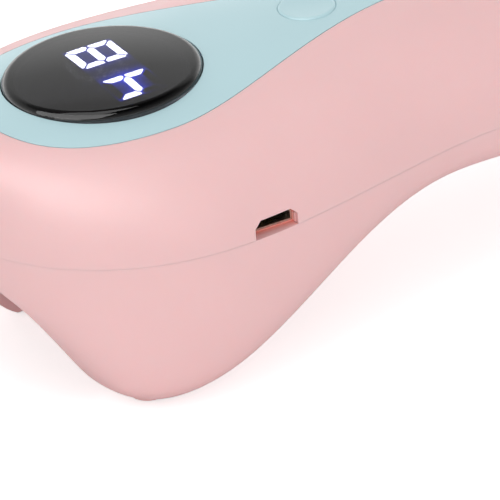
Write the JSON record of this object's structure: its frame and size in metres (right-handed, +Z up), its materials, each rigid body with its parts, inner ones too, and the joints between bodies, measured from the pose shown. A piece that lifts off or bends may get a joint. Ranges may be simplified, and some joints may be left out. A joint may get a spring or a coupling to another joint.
{
  "type": "handheld nail lamp",
  "caption": "Handheld LED nail-curing lamp: rounded head on short legs over a finger tunnel, rounded digital display, flush power button, side charging socket and drooping handle.",
  "frame": {"origin": "middle of the lamp's plan outline, on the surface that its feet stand on", "axes": "+X from the round nose to the end of the handle, +Z up, -Y towards the charging socket's side"},
  "size_m": [0.1678, 0.066, 0.0482],
  "materials": {
    "pink_shell": "satin moulded ABS",
    "blue_panel": "fine satin, moulded",
    "display_lens": "smoked, polished",
    "adhesive": "foam tape",
    "housing_black": "matt moulded",
    "segment_lit": "lit diffuser",
    "segment_dark": "unlit diffuser",
    "switch_black": "moulded",
    "switch_plunger": "moulded",
    "board_green": "solder mask",
    "board_white": "white solder mask",
    "chip_black": "moulded epoxy",
    "steel": "zinc plated",
    "socket_steel": "tin plated",
    "coil_grey": "ferrite",
    "connector_white": "moulded nylon",
    "window_clear": "polished acrylic",
    "reflector_silver": "vacuum metallised plastic",
    "led_yellow": "silicone lens on ceramic",
    "foam": "closed-cell foam",
    "cell_silver": "laminated foil pouch",
    "guard_board": "taped circuit board",
    "lead_red": "insulated wire",
    "lead_white": "insulated wire",
    "ribbon_grey": "flat cable",
    "foot_rubber": "soft silicone"
  },
  "bodies": {
    "lamp": {"top_shell": "pink_shell", "bottom_shell": "pink_shell", "top_panel": "blue_panel", "display_lens": "display_lens", "lens_tape": "adhesive", "display_housing": "housing_black", "lit_segments": "segment_lit", "dark_segments": "segment_dark", "switch_body": "switch_black", "control_board": "board_green", "control_chip": "chip_black", "control_board_screws": "steel", "charging_board": "board_green", "usb_shell": "socket_steel", "usb_tongue": "switch_black", "charger_chip": "chip_black", "charger_coil": "coil_grey", "battery_header": "connector_white", "battery_plug": "connector_white", "charging_board_screws": "steel", "light_window": "window_clear", "reflector": "reflector_silver", "led_board": "board_white", "led_beads": "led_yellow", "led_board_screws": "steel", "battery_pad": "foam", "battery_cell": "cell_silver", "battery_guard": "guard_board", "battery_leads": "lead_red", "led_leads": "lead_white", "link_cable": "ribbon_grey", "case_screws": "steel", "leg_feet": "foot_rubber", "tail_foot": "foot_rubber"},
    "button": {"power_button": "blue_panel"},
    "plunger": {"switch_plunger": "switch_plunger"}
  },
  "joints": [
    {"name": "button_press", "type": "slide", "parent": "lamp", "child": "button", "axis": [0, 0, -1], "range_m": [0, 0.0004], "stiffness_N_per_m": 400, "springref_m": -0.0005},
    {"name": "plunger_press", "type": "slide", "parent": "lamp", "child": "plunger", "axis": [0, 0, -1], "range_m": [0, 0.0004]}
  ],
  "couplings": [
    {"joint": "plunger_press", "follows": "button_press", "ratio": 1}
  ]
}
